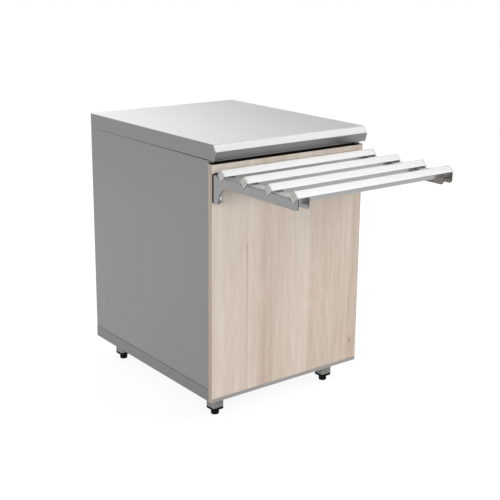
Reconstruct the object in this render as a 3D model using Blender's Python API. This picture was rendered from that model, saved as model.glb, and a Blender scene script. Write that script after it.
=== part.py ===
"""Neutral counter of a self-service line: steel body, wood front panel and a tray slide.

Metres, +Z up. The origin is on the floor, under the middle of the overall box.
The customer's side, with the front panel and the tray slide, faces -Y.
"""

import math

import bmesh
import bpy
from mathutils import Matrix, Vector

# Overall sizes
COUNTER_WIDTH = 0.600
COUNTER_HEIGHT = 0.870
BODY_DEPTH = 0.700           # steel body, behind the front panel
UNDERSIDE_HEIGHT = 0.060     # floor to the lower edge of the body
FIT_GAP = 0.0003             # left between pieces that touch
CUT_MARGIN = 0.010           # cutters past the piece that they cut

# Worktop: a folded sheet with a faceted nose, over a board
WORKTOP_HEIGHT = 0.050
WORKTOP_SHEET = 0.0015
NOSE_OVERHANG = 0.020        # nose in front of the panel's face
NOSE_DROP = 0.022            # nose below the top face
NOSE_TOP_SETBACK = 0.013     # upper edge of the nose's top facet, behind the nose
NOSE_FOOT_SETBACK = 0.007    # lower edge of the nose, behind the nose
NOSE_FOOT_RADIUS = 0.007
NOSE_RETURN = 0.030          # lip under the nose, from its lower edge towards the rear
CORE_THICKNESS = 0.018
CORE_FRONT_SETBACK = 0.010   # front edge of the board, behind the top facet's upper edge

# Side panels, each a shallow tray that opens inwards
SIDE_SHEET = 0.0012
SIDE_FLANGE = 0.020

# Base: angle rails, a deck on them and two beams that carry the legs
BASE_HEIGHT = 0.040
BASE_SHEET = 0.0015
BASE_FLANGE = 0.020
DECK_SHEET = 0.0012
BEAM_SHEET = 0.002
BEAM_LIFT = 0.005            # beams' lower edges above the body's lower edge
BEAM_CLEARANCE = 0.0019      # between a beam's wall and a leg

# Rails across the body
REAR_RAIL_HEIGHT = 0.040
CROSS_RAIL_DEPTH = 0.025
CROSS_RAIL_SHEET = 0.002
FRONT_RAIL_MARGIN = 0.006    # front rail below the brackets that it carries

# Loose shelf on two ledges
SHELF_LEVEL = 0.470          # top face of the shelf
SHELF_FLANGE = 0.025
SHELF_SHEET = 0.0012
SHELF_SIDE_CLEARANCE = 0.0012
SHELF_FRONT_GAP = 0.020
SHELF_REAR_GAP = 0.015
LEDGE_WIDTH = 0.040
LEDGE_HEIGHT = 0.020
LEDGE_SHEET = 0.0015

# Front panel with its edge bands and bottom trim
PANEL_THICKNESS = 0.016
PANEL_TOP_GAP = 0.010        # dark gap between the panel and the worktop
EDGE_BAND = 0.001
TRIM_SHEET = 0.001
TRIM_LIP = 0.012
TRIM_END_SETBACK = 0.002

# Legs and levelling feet
LEG_TUBE = 0.040
LEG_WALL = 0.002
LEG_LEFT_INSET = 0.043       # left side to the axis of the left legs
LEG_RIGHT_INSET = 0.107      # right side to the axis of the right legs
LEG_REAR_INSET = 0.111       # rear to the axis of the rear legs
PLUG_FLANGE = 0.005
PLUG_SPIGOT = 0.022
SPINDLE_RADIUS = 0.005
SPINDLE_LENGTH = 0.065
SPINDLE_CHAMFER = 0.001
SPINDLE_CLEARANCE = 0.0004   # in the plug's hole
PAD_RADIUS = 0.013
PAD_HEIGHT = 0.018
PAD_CHAMFER = 0.0015
PAD_SOCKET = 0.010           # depth of the spindle's seat

# Tray slide: square tubes set on edge, in the notches of two brackets
RAIL_COUNT = 4
RAIL_SIDE = 0.025
RAIL_WALL = 0.0015
RAIL_FIRST = 0.047           # panel's face to the axis of the first tube
RAIL_PITCH = 0.1083
RAIL_DROP = 0.085            # axis of the tubes below the worktop's top face
CAP_FLANGE = 0.002
CAP_PLUG = 0.012
BRACKET_WIDTH = 0.040
BRACKET_PLATE = 0.003
BRACKET_INSET = 0.002        # counter's side to the bracket's outer face
ARM_TOP_DROP = 0.004         # arm's top edge below the tubes' axis
ARM_HEIGHT = 0.031
ARM_TIP_LAND = 0.0019        # arm's tip in front of the last notch
ARM_TIP_RADIUS = 0.010
WALL_LEG_STRAIGHT = 0.008    # wall leg below the gusset
WALL_LEG_DEPTH = 0.0275
GUSSET_RADIUS = 0.045
NOTCH_REAR_RUN = 0.024       # notch's floor back to its rear lip
NOTCH_LIP_RADIUS = 0.018
PAD_PLATE = 0.004            # rubber pad behind each bracket
PAD_PLATE_MARGIN = 0.003
PAD_PLATE_RADIUS = 0.006
BOLT_RADIUS = 0.003
BOLT_CLEARANCE = 0.0004
BOLT_HEAD_RADIUS = 0.0052
BOLT_HEAD_HEIGHT = 0.0033
BOLT_CROWN_RADIUS = 0.0031   # flat top of the head
BOLT_CROWN_HEIGHT = 0.0017
BOLT_END = 0.006             # bolt's end behind the front rail's web
BOLT_FLANGE_GAP = 0.003      # bolts clear of the side panels' flanges
BOLT_EDGE = 0.010            # bolts' axes to the inner edge of the mounting face
BOLT_LOW = 0.012             # lower bolts above the foot of the wall leg
BOLT_HIGH = 0.017            # upper bolts below the arm's top edge

# Facets of round shapes
ROUND_STEPS = 24
BOLT_STEPS = 12
ARC_STEPS = 6

# Places that follow from the sizes above
half_width = COUNTER_WIDTH / 2
rail_half_diagonal = RAIL_SIDE / math.sqrt(2)
front_rail_reach = RAIL_FIRST + (RAIL_COUNT - 1) * RAIL_PITCH
tray_reach = front_rail_reach + rail_half_diagonal
rear_y = (tray_reach + PANEL_THICKNESS + BODY_DEPTH) / 2
panel_back_y = rear_y - BODY_DEPTH
panel_face_y = panel_back_y - PANEL_THICKNESS
body_front_y = panel_back_y + FIT_GAP
worktop_bottom = COUNTER_HEIGHT - WORKTOP_HEIGHT
deck_top = UNDERSIDE_HEIGHT + BASE_HEIGHT
deck_bottom = deck_top - DECK_SHEET
side_rail_top = deck_bottom - FIT_GAP
end_rail_top = side_rail_top - BASE_SHEET - FIT_GAP
beam_top = end_rail_top - BASE_SHEET - FIT_GAP
beam_bottom = UNDERSIDE_HEIGHT + BEAM_LIFT
beam_half = LEG_TUBE / 2 + BEAM_CLEARANCE + BEAM_SHEET
base_end_half = half_width - BASE_SHEET - FIT_GAP
inside_half = half_width - SIDE_SHEET - FIT_GAP
side_panel_top = worktop_bottom - FIT_GAP
rail_level = COUNTER_HEIGHT - RAIL_DROP
arm_top = rail_level - ARM_TOP_DROP
arm_bottom = arm_top - ARM_HEIGHT
wall_leg_foot = arm_bottom - GUSSET_RADIUS - WALL_LEG_STRAIGHT
bracket_back = PAD_PLATE + 2 * FIT_GAP     # in front of the panel's face
bracket_outer = half_width - BRACKET_INSET
mounting_face_y = panel_face_y - bracket_back - BRACKET_PLATE
front_rail_y = body_front_y + SIDE_SHEET + FIT_GAP
bolt_x = half_width - SIDE_FLANGE - BOLT_FLANGE_GAP - BOLT_RADIUS
bolt_length = front_rail_y + CROSS_RAIL_SHEET + BOLT_END - mounting_face_y + FIT_GAP

SIDES = {"left": -1, "right": 1}


def make_material(name, colour, roughness, metallic):
    material = bpy.data.materials.new(name)
    material.use_nodes = True
    shader = material.node_tree.nodes["Principled BSDF"]
    shader.inputs["Base Color"].default_value = (*colour, 1.0)
    shader.inputs["Roughness"].default_value = roughness
    shader.inputs["Metallic"].default_value = metallic
    return material


def make_empty(name, location, parent=None):
    empty = bpy.data.objects.new(name, None)
    bpy.context.collection.objects.link(empty)
    empty.location = location
    empty.parent = parent
    return empty


def make_mesh(name, bm, material):
    bmesh.ops.recalc_face_normals(bm, faces=bm.faces)
    mesh = bpy.data.meshes.new(name)
    bm.to_mesh(mesh)
    bm.free()
    mesh.materials.append(material)
    return mesh


def place(name, mesh, location, parent, turn=0.0):
    """An object for a mesh, turned about Z and placed under its parent."""
    piece = bpy.data.objects.new(name, mesh)
    bpy.context.collection.objects.link(piece)
    piece.location = location
    piece.rotation_euler.z = turn
    piece.parent = parent
    return piece


def prism(outline, axis, start, end):
    """An outline across an axis, drawn along that axis into a closed prism."""
    along = "XYZ".index(axis)
    across = [index for index in range(3) if index != along]
    bm = bmesh.new()
    corners = []
    for point in outline:
        corner = Vector((0.0, 0.0, 0.0))
        corner[along] = start
        corner[across[0]], corner[across[1]] = point
        corners.append(bm.verts.new(corner))
    face = bm.faces.new(corners)
    drawn = bmesh.ops.extrude_face_region(bm, geom=[face])["geom"]
    step = Vector((0.0, 0.0, 0.0))
    step[along] = end - start
    moved = [item for item in drawn if isinstance(item, bmesh.types.BMVert)]
    bmesh.ops.translate(bm, verts=moved, vec=step)
    bmesh.ops.recalc_face_normals(bm, faces=bm.faces)
    return bm


def rectangle(low, high):
    return [(low[0], low[1]), (high[0], low[1]), (high[0], high[1]), (low[0], high[1])]


def diamond(half_diagonal):
    return [(half_diagonal, 0.0), (0.0, half_diagonal), (-half_diagonal, 0.0), (0.0, -half_diagonal)]


def round_corners(corners):
    """A closed outline from (point, radius) corners, each radius made an arc."""
    outline = []
    for index, (point, radius) in enumerate(corners):
        here = Vector(point)
        if radius == 0.0:
            outline.append(tuple(here))
            continue
        before = (Vector(corners[index - 1][0]) - here).normalized()
        after = (Vector(corners[(index + 1) % len(corners)][0]) - here).normalized()
        half_angle = before.angle(after) / 2
        tangent = radius / math.tan(half_angle)
        centre = here + (before + after).normalized() * (radius / math.sin(half_angle))
        first = here + before * tangent - centre
        sweep = first.angle_signed(here + after * tangent - centre)
        for step in range(ARC_STEPS + 1):
            turn = Matrix.Rotation(-sweep * step / ARC_STEPS, 2)
            outline.append(tuple(centre + turn @ first))
    return outline


def turned(profile, steps):
    """A solid of revolution about Z from (radius, height) points that start and end on the axis."""
    bm = bmesh.new()
    points = [bm.verts.new((radius, 0.0, height)) for radius, height in profile]
    edges = [bm.edges.new(pair) for pair in zip(points, points[1:])]
    bmesh.ops.spin(bm, geom=points + edges, cent=(0, 0, 0), axis=(0, 0, 1),
                   angle=2 * math.pi, steps=steps)
    bmesh.ops.remove_doubles(bm, verts=bm.verts, dist=1e-6)
    return bm


def grow_face(bm, direction, inset, length):
    """Inset the face that looks in a direction and draw it out by a length."""
    face = max(bm.faces, key=lambda item: item.calc_center_median().dot(direction))
    bmesh.ops.inset_region(bm, faces=[face], thickness=inset, use_even_offset=True)
    drawn = bmesh.ops.extrude_face_region(bm, geom=[face])["geom"]
    bmesh.ops.delete(bm, geom=[face], context="FACES_ONLY")
    moved = [item for item in drawn if isinstance(item, bmesh.types.BMVert)]
    bmesh.ops.translate(bm, verts=moved, vec=direction * length)


def add_block(name, low, high, material, parent):
    """A plain block between two corners."""
    low, high = Vector(low), Vector(high)
    half = (high - low) / 2
    bm = prism(rectangle((-half.x, -half.y), (half.x, half.y)), "Z", -half.z, half.z)
    return place(name, make_mesh(name, bm, material), (low + high) / 2, parent)


def fold(piece, thickness):
    """Give a surface its sheet thickness, inwards from its outer face."""
    solid = piece.modifiers.new("sheet", "SOLIDIFY")
    solid.solidify_mode = "NON_MANIFOLD"
    solid.nonmanifold_thickness_mode = "CONSTRAINTS"
    solid.thickness = thickness
    solid.offset = -1.0
    return piece


def add_folded(name, low, high, walls, thickness, material, parent):
    """A folded sheet: the named walls of a box, such as "-X +Z", with its other sides open."""
    low, high = Vector(low), Vector(high)
    half = (high - low) / 2
    bm = prism(rectangle((-half.x, -half.y), (half.x, half.y)), "Z", -half.z, half.z)
    kept = walls.split()
    for face in list(bm.faces):
        along = max(range(3), key=lambda index: abs(face.normal[index]))
        wall = ("+" if face.normal[along] > 0 else "-") + "XYZ"[along]
        if wall not in kept:
            bmesh.ops.delete(bm, geom=[face], context="FACES")
    mesh = bpy.data.meshes.new(name)
    bm.to_mesh(mesh)
    bm.free()
    mesh.materials.append(material)
    return fold(place(name, mesh, (low + high) / 2, parent), thickness)


def add_cutter(name, bm, parent=None):
    cutter = place(name, make_mesh(name, bm, rubber), (0, 0, 0), parent)
    cutter.hide_render = True
    cutter.display_type = "WIRE"
    return cutter


def cut(piece, cutter):
    modifier = piece.modifiers.new(cutter.name, "BOOLEAN")
    modifier.operation = "DIFFERENCE"
    modifier.object = cutter


def build_base(counter):
    for side, sign in SIDES.items():
        outer, inner = sign * half_width, sign * (half_width - BASE_FLANGE)
        add_folded("base_rail_" + side, (min(outer, inner), body_front_y, UNDERSIDE_HEIGHT),
                   (max(outer, inner), rear_y, side_rail_top), "-X +Z" if sign < 0 else "+X +Z",
                   BASE_SHEET, painted_steel, counter)
    add_folded("base_rail_front", (-base_end_half, body_front_y, UNDERSIDE_HEIGHT),
               (base_end_half, body_front_y + BASE_FLANGE, end_rail_top), "-Y +Z",
               BASE_SHEET, painted_steel, counter)
    add_folded("base_rail_rear", (-base_end_half, rear_y - BASE_FLANGE, UNDERSIDE_HEIGHT),
               (base_end_half, rear_y, end_rail_top), "+Y +Z", BASE_SHEET, painted_steel, counter)
    add_block("bottom_deck", (-half_width, body_front_y, deck_bottom),
              (half_width, rear_y, deck_top), stainless, counter)


def build_legs(counter):
    """Beams under the deck, and a leg tube, a plug and a screwed foot at each corner."""
    leg_x = {"left": -half_width + LEG_LEFT_INSET, "right": half_width - LEG_RIGHT_INSET}
    leg_y = {"front": body_front_y + BASE_SHEET + FIT_GAP + beam_half, "rear": rear_y - LEG_REAR_INSET}
    for end, y in leg_y.items():
        add_folded("leg_beam_" + end, (-base_end_half, y - beam_half, beam_bottom),
                   (base_end_half, y + beam_half, beam_top), "-Y +Y +Z", BEAM_SHEET, painted_steel, counter)

    plug_bottom = PAD_HEIGHT + FIT_GAP
    plug_top = plug_bottom + PLUG_FLANGE
    half_tube = LEG_TUBE / 2
    square = rectangle((-half_tube, -half_tube), (half_tube, half_tube))

    tube = prism(square, "Z", plug_top + FIT_GAP, beam_top - BEAM_SHEET - FIT_GAP)
    ends = [face for face in tube.faces if abs(face.normal.z) > 0.5]
    bmesh.ops.delete(tube, geom=ends, context="FACES")
    tube_mesh = make_mesh("leg", tube, painted_steel)

    plug = prism(square, "Z", plug_bottom, plug_top)
    grow_face(plug, Vector((0, 0, 1)), LEG_WALL + FIT_GAP, PLUG_SPIGOT)
    plug_mesh = make_mesh("leg_plug", plug, black_plastic)

    seat = PAD_HEIGHT - PAD_SOCKET
    socket_radius = SPINDLE_RADIUS + FIT_GAP
    pad_mesh = make_mesh("foot_pad", turned([
        (0.0, seat), (socket_radius, seat), (socket_radius, PAD_HEIGHT),
        (PAD_RADIUS - PAD_CHAMFER, PAD_HEIGHT), (PAD_RADIUS, PAD_HEIGHT - PAD_CHAMFER),
        (PAD_RADIUS, PAD_CHAMFER), (PAD_RADIUS - PAD_CHAMFER, 0.0), (0.0, 0.0)], ROUND_STEPS), black_plastic)

    spindle_foot = seat + FIT_GAP
    spindle_head = spindle_foot + SPINDLE_LENGTH
    spindle_mesh = make_mesh("foot_spindle", turned([
        (0.0, spindle_head), (SPINDLE_RADIUS - SPINDLE_CHAMFER, spindle_head),
        (SPINDLE_RADIUS, spindle_head - SPINDLE_CHAMFER), (SPINDLE_RADIUS, spindle_foot),
        (0.0, spindle_foot)], ROUND_STEPS), zinc_steel)
    hole_radius = SPINDLE_RADIUS + SPINDLE_CLEARANCE
    hole_top = plug_top + PLUG_SPIGOT + CUT_MARGIN
    hole_foot = plug_bottom - CUT_MARGIN
    hole_profile = [(0.0, hole_top), (hole_radius, hole_top), (hole_radius, hole_foot), (0.0, hole_foot)]
    for mesh in (pad_mesh, spindle_mesh):
        mesh.shade_smooth()
        mesh.set_sharp_from_angle(angle=math.radians(30))

    for end, y in leg_y.items():
        for side, x in leg_x.items():
            corner = end + "_" + side
            axis = make_empty("foot_axis_" + corner, (x, y, 0.0), counter)
            fold(place("leg_" + corner, tube_mesh, (0, 0, 0), axis), LEG_WALL)
            cut(place("leg_plug_" + corner, plug_mesh, (0, 0, 0), axis),
                add_cutter("spindle_hole_" + corner, turned(hole_profile, ROUND_STEPS), axis))
            place("foot_pad_" + corner, pad_mesh, (0, 0, 0), axis)
            place("foot_spindle_" + corner, spindle_mesh, (0, 0, 0), axis)


def build_body(counter):
    ledge_top = SHELF_LEVEL - SHELF_FLANGE - FIT_GAP
    ledge_front = body_front_y + SIDE_SHEET + FIT_GAP
    ledge_rear = rear_y - SIDE_SHEET - FIT_GAP
    for side, sign in SIDES.items():
        wall = "-X" if sign < 0 else "+X"
        outer, inner = sign * half_width, sign * (half_width - SIDE_FLANGE)
        add_folded("side_panel_" + side, (min(outer, inner), body_front_y, deck_top + FIT_GAP),
                   (max(outer, inner), rear_y, side_panel_top), wall + " -Y +Y -Z +Z",
                   SIDE_SHEET, stainless, counter)
        outer, inner = sign * inside_half, sign * (inside_half - LEDGE_WIDTH)
        add_folded("shelf_ledge_" + side, (min(outer, inner), ledge_front, ledge_top - LEDGE_HEIGHT),
                   (max(outer, inner), ledge_rear, ledge_top), wall + " +Z",
                   LEDGE_SHEET, stainless, counter)

    shelf_half = half_width - SIDE_FLANGE - SHELF_SIDE_CLEARANCE
    add_folded("middle_shelf", (-shelf_half, body_front_y + SHELF_FRONT_GAP, SHELF_LEVEL - SHELF_FLANGE),
               (shelf_half, rear_y - SHELF_REAR_GAP, SHELF_LEVEL), "-X +X -Y +Y +Z",
               SHELF_SHEET, stainless, counter)

    rail_half = half_width - SIDE_FLANGE - FIT_GAP
    add_folded("top_rail_rear", (-rail_half, rear_y - CROSS_RAIL_DEPTH, side_panel_top - REAR_RAIL_HEIGHT),
               (rail_half, rear_y, side_panel_top), "+Y -Z +Z", CROSS_RAIL_SHEET, painted_steel, counter)


def build_worktop(counter):
    """The folded worktop sheet, open below behind the lip of its nose, and the board inside it."""
    top = COUNTER_HEIGHT
    nose_y = panel_face_y - NOSE_OVERHANG
    facet_y = nose_y + NOSE_TOP_SETBACK
    foot_y = nose_y + NOSE_FOOT_SETBACK
    lip_y = foot_y + NOSE_RETURN
    outline = round_corners([
        ((rear_y, worktop_bottom), 0.0), ((rear_y, top), 0.0), ((facet_y, top), 0.0),
        ((nose_y, top - NOSE_DROP), 0.0), ((foot_y, worktop_bottom), NOSE_FOOT_RADIUS),
        ((lip_y, worktop_bottom), 0.0)])
    bm = prism(outline, "X", -half_width, half_width)
    opening = [face for face in bm.faces
               if face.normal.z < -0.99 and face.calc_center_median().y > lip_y]
    bmesh.ops.delete(bm, geom=opening, context="FACES")
    mesh = bpy.data.meshes.new("worktop")
    bm.to_mesh(mesh)
    bm.free()
    mesh.materials.append(stainless)
    fold(place("worktop", mesh, (0, 0, 0), counter), WORKTOP_SHEET)

    core_half = half_width - WORKTOP_SHEET - FIT_GAP
    core_top = top - WORKTOP_SHEET - FIT_GAP
    add_block("worktop_core", (-core_half, facet_y + CORE_FRONT_SETBACK, core_top - CORE_THICKNESS),
              (core_half, rear_y - WORKTOP_SHEET - FIT_GAP, core_top), chipboard, counter)


def build_front_panel(counter, bolt_holes):
    panel_top = worktop_bottom - PANEL_TOP_GAP
    panel_bottom = UNDERSIDE_HEIGHT + TRIM_SHEET + FIT_GAP
    panel_half = half_width - EDGE_BAND - FIT_GAP
    panel = add_block("front_panel", (-panel_half, panel_face_y, panel_bottom),
                      (panel_half, panel_back_y, panel_top - EDGE_BAND - FIT_GAP), ash_laminate, counter)
    cut(panel, bolt_holes)
    for side, sign in SIDES.items():
        outer, inner = sign * half_width, sign * (half_width - EDGE_BAND)
        add_block("panel_edge_" + side, (min(outer, inner), panel_face_y, UNDERSIDE_HEIGHT),
                  (max(outer, inner), panel_back_y, panel_top), ash_edge, counter)
    add_block("panel_edge_top", (-panel_half, panel_face_y, panel_top - EDGE_BAND),
              (panel_half, panel_back_y, panel_top), black_plastic, counter)
    trim_half = half_width - TRIM_END_SETBACK
    add_folded("panel_bottom_trim", (-trim_half, panel_face_y - FIT_GAP - TRIM_SHEET, UNDERSIDE_HEIGHT),
               (trim_half, panel_back_y, UNDERSIDE_HEIGHT + TRIM_LIP), "-Y -Z",
               TRIM_SHEET, aluminium, counter)


def bracket_outline():
    """Side view of a bracket, as corners of (y, z) with a radius."""
    floor = rail_level - rail_half_diagonal - FIT_GAP * math.sqrt(2)
    rise = arm_top - floor
    tip = front_rail_reach + rise + ARM_TIP_LAND
    leg_front = bracket_back + WALL_LEG_DEPTH
    corners = [((bracket_back, wall_leg_foot), 0.0), ((bracket_back, arm_top), 0.0)]
    for index in range(RAIL_COUNT):
        axis = RAIL_FIRST + index * RAIL_PITCH
        corners.append(((axis - NOTCH_REAR_RUN, arm_top), NOTCH_LIP_RADIUS))
        corners.append(((axis, floor), 0.0))
        corners.append(((axis + rise, arm_top), 0.0))
    corners.append(((tip, arm_top), 0.0))
    corners.append(((tip, arm_bottom), ARM_TIP_RADIUS))
    corners.append(((leg_front, arm_bottom), GUSSET_RADIUS))
    corners.append(((leg_front, wall_leg_foot), 0.0))
    return round_corners([((panel_face_y - reach, height), radius) for (reach, height), radius in corners])


def bolt_places():
    """Name and (x, z) of each bracket bolt."""
    levels = {"low": wall_leg_foot + BOLT_LOW, "high": arm_top - BOLT_HIGH}
    return {side + "_" + level: (sign * bolt_x, z)
            for side, sign in SIDES.items() for level, z in levels.items()}


def build_bolt_holes():
    bm = bmesh.new()
    for x, z in bolt_places().values():
        turn = Matrix.Translation((x, panel_face_y, z)) @ Matrix.Rotation(math.pi / 2, 4, "X")
        bmesh.ops.create_cone(bm, cap_ends=True, segments=BOLT_STEPS,
                              radius1=BOLT_RADIUS + BOLT_CLEARANCE, radius2=BOLT_RADIUS + BOLT_CLEARANCE,
                              depth=2 * (bolt_length + CUT_MARGIN), matrix=turn)
    return add_cutter("bolt_holes", bm)


def build_brackets(counter, bolt_holes):
    """Two folded brackets on rubber pads, bolted through the panel to the front rail behind it."""
    outline = bracket_outline()
    tongue_inner = bolt_x - BOLT_EDGE
    cutter_front = panel_face_y - tray_reach - CUT_MARGIN
    cutter_foot = wall_leg_foot - CUT_MARGIN
    for side, sign in SIDES.items():
        outer = sign * bracket_outer
        inner = outer - sign * BRACKET_WIDTH
        bracket = place("tray_bracket_" + side,
                        make_mesh("tray_bracket", prism(outline, "X", min(outer, inner), max(outer, inner)),
                                  stainless), (0, 0, 0), counter)
        walls = sorted((outer - sign * BRACKET_PLATE, inner + sign * BRACKET_PLATE))
        pocket = prism(rectangle((cutter_front, cutter_foot), (mounting_face_y, arm_top + CUT_MARGIN)),
                       "X", walls[0], walls[1])
        cut(bracket, add_cutter("bracket_pocket_" + side, pocket))
        beside = sorted((sign * tongue_inner, inner - sign * CUT_MARGIN))
        relief = prism(rectangle((cutter_front, cutter_foot), (panel_face_y, arm_bottom)),
                       "X", beside[0], beside[1])
        cut(bracket, add_cutter("bracket_relief_" + side, relief))
        cut(bracket, bolt_holes)

        pad_edges = sorted((outer, sign * (tongue_inner - PAD_PLATE_MARGIN)))
        low, high = wall_leg_foot - PAD_PLATE_MARGIN, arm_top + PAD_PLATE_MARGIN
        pad_outline = round_corners([(corner, PAD_PLATE_RADIUS)
                                     for corner in rectangle((pad_edges[0], low), (pad_edges[1], high))])
        pad_back = panel_face_y - FIT_GAP
        pad_mesh = make_mesh("bracket_pad", prism(pad_outline, "Y", pad_back - PAD_PLATE, pad_back), rubber)
        cut(place("bracket_pad_" + side, pad_mesh, (0, 0, 0), counter), bolt_holes)

    rail = add_folded("front_rail", (-inside_half, front_rail_y, wall_leg_foot - FRONT_RAIL_MARGIN),
                      (inside_half, front_rail_y + CROSS_RAIL_DEPTH, side_panel_top - SIDE_SHEET - FIT_GAP),
                      "-Y -Z +Z", CROSS_RAIL_SHEET, black_steel, counter)
    cut(rail, bolt_holes)

    bolt = turned([(0.0, BOLT_HEAD_HEIGHT), (BOLT_CROWN_RADIUS, BOLT_HEAD_HEIGHT),
                   (BOLT_HEAD_RADIUS, BOLT_CROWN_HEIGHT), (BOLT_HEAD_RADIUS, 0.0), (BOLT_RADIUS, 0.0),
                   (BOLT_RADIUS, -bolt_length), (0.0, -bolt_length)], BOLT_STEPS)
    bolt_mesh = make_mesh("bracket_bolt", bolt, zinc_steel)
    bolt_mesh.transform(Matrix.Rotation(math.pi / 2, 4, "X"))
    for name, (x, z) in bolt_places().items():
        place("bracket_bolt_" + name, bolt_mesh, (x, mounting_face_y - FIT_GAP, z), counter)


def build_tray_rails(counter):
    """Square tubes on edge, each with a cap in both ends."""
    tube_half = half_width - CAP_FLANGE - FIT_GAP
    tube = prism(diamond(rail_half_diagonal), "X", -tube_half, tube_half)
    ends = [face for face in tube.faces if abs(face.normal.x) > 0.5]
    bmesh.ops.delete(tube, geom=ends, context="FACES")
    tube_mesh = make_mesh("tray_rail", tube, stainless)

    cap = prism(diamond(rail_half_diagonal), "X", -CAP_FLANGE / 2, CAP_FLANGE / 2)
    grow_face(cap, Vector((1, 0, 0)), RAIL_WALL + FIT_GAP, CAP_PLUG)
    cap_mesh = make_mesh("rail_cap", cap, grey_plastic)

    for index in range(RAIL_COUNT):
        number = str(index + 1)
        y = panel_face_y - RAIL_FIRST - index * RAIL_PITCH
        axis = make_empty("tray_rail_axis_" + number, (0, y, rail_level), counter)
        fold(place("tray_rail_" + number, tube_mesh, (0, 0, 0), axis), RAIL_WALL)
        for side, sign in SIDES.items():
            place("rail_cap_" + number + "_" + side, cap_mesh, (sign * (half_width - CAP_FLANGE / 2), 0, 0),
                  axis, turn=0.0 if sign < 0 else math.pi)


for startup_object in list(bpy.data.objects):
    bpy.data.objects.remove(startup_object)

stainless = make_material("satin_stainless", (0.56, 0.56, 0.57), 0.38, 1.0)
painted_steel = make_material("grey_painted_steel", (0.28, 0.28, 0.285), 0.45, 0.0)
black_steel = make_material("black_painted_steel", (0.015, 0.015, 0.016), 0.6, 0.0)
zinc_steel = make_material("zinc_steel", (0.55, 0.55, 0.56), 0.35, 1.0)
aluminium = make_material("satin_aluminium", (0.62, 0.62, 0.63), 0.35, 1.0)
ash_laminate = make_material("ash_laminate", (0.65, 0.56, 0.47), 0.5, 0.0)
ash_edge = make_material("ash_edge_band", (0.45, 0.36, 0.28), 0.5, 0.0)
chipboard = make_material("chipboard", (0.42, 0.30, 0.19), 0.8, 0.0)
black_plastic = make_material("black_plastic", (0.012, 0.012, 0.013), 0.45, 0.0)
grey_plastic = make_material("grey_plastic", (0.42, 0.42, 0.41), 0.5, 0.0)
rubber = make_material("black_rubber", (0.02, 0.017, 0.016), 0.8, 0.0)

counter_frame = make_empty("counter", (0, 0, 0))
hole_cutter = build_bolt_holes()
build_base(counter_frame)
build_legs(counter_frame)
build_body(counter_frame)
build_worktop(counter_frame)
build_front_panel(counter_frame, hole_cutter)
build_brackets(counter_frame, hole_cutter)
build_tray_rails(counter_frame)
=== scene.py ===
import math

import bpy
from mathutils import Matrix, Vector


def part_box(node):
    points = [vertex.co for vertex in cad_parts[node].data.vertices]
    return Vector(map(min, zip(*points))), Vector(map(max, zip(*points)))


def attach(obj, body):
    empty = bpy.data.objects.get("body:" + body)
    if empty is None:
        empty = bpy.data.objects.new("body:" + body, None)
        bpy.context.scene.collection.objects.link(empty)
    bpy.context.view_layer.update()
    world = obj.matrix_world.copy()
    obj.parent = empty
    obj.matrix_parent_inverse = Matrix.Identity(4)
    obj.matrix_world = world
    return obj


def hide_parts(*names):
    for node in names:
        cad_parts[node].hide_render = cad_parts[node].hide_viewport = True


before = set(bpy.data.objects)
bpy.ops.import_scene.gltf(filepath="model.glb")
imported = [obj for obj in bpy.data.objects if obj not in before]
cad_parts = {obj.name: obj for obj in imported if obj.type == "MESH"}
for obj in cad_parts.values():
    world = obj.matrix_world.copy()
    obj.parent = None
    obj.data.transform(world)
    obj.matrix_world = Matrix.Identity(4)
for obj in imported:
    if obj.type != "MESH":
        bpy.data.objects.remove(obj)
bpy.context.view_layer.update()        # CAD nodes of the imported counter
sides = {"left": -1, "right": 1}        # and the sign of x there
corners = ["front_left", "front_right", "rear_left", "rear_right"]
railNumbers = [1, 2, 3, 4]        # tray rails, from the panel outwards
facing = 0.9        # a normal with this much of an axis in it faces that way
tiny = 1e-5        # metres, for picking points and edges by their place
smoothAngle = math.radians(40)        # flatter joins between faces are shaded round
print("frame loaded:", len(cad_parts), "nodes")


# Hand tools: select, model, apply

def clearSelection():
    if bpy.context.mode != "OBJECT":
        bpy.ops.object.mode_set(mode="OBJECT")
    bpy.ops.object.select_all(action="DESELECT")


def pick(piece):        # the only selected object, and the active one
    clearSelection()
    piece.select_set(True)
    bpy.context.view_layer.objects.active = piece


def nameIt(name):        # the object that was just added
    bpy.ops.object.transform_apply(location=True, rotation=True, scale=True)
    piece = bpy.context.object
    piece.name = name
    piece.data.name = name
    return piece


def addBox(name, low, high):
    clearSelection()
    low, high = Vector(low), Vector(high)
    bpy.ops.mesh.primitive_cube_add(size=1, location=(low + high) / 2)
    bpy.context.object.scale = high - low
    return nameIt(name)


def addRod(name, foot, head, radius, rodSides):        # a cylinder from one point to another
    clearSelection()
    foot, head = Vector(foot), Vector(head)
    bpy.ops.mesh.primitive_cylinder_add(vertices=rodSides, radius=radius, depth=(head - foot).length,
                                        location=(foot + head) / 2,
                                        rotation=(head - foot).to_track_quat("Z", "Y").to_euler())
    return nameIt(name)


def startEdit(kind):        # edit mode with nothing selected, then back for selecting in code
    bpy.ops.object.mode_set(mode="EDIT")
    bpy.ops.mesh.select_mode(type=kind)
    bpy.ops.mesh.select_all(action="DESELECT")
    bpy.ops.object.mode_set(mode="OBJECT")


def editFaces(piece, test):
    startEdit("FACE")
    for face in piece.data.polygons:
        face.select = test(face.center, face.normal)
    bpy.ops.object.mode_set(mode="EDIT")


def editEdges(piece, test):
    startEdit("EDGE")
    for edge in piece.data.edges:
        first, second = [piece.data.vertices[index].co for index in edge.vertices]
        edge.select = test(first, second)
    bpy.ops.object.mode_set(mode="EDIT")


def editPoints(piece, test):
    startEdit("VERT")
    for point in piece.data.vertices:
        point.select = test(point.co)
    bpy.ops.object.mode_set(mode="EDIT")


def leaveEdit():
    bpy.ops.object.mode_set(mode="OBJECT")


def everyFace(centre, normal):
    return True


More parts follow.
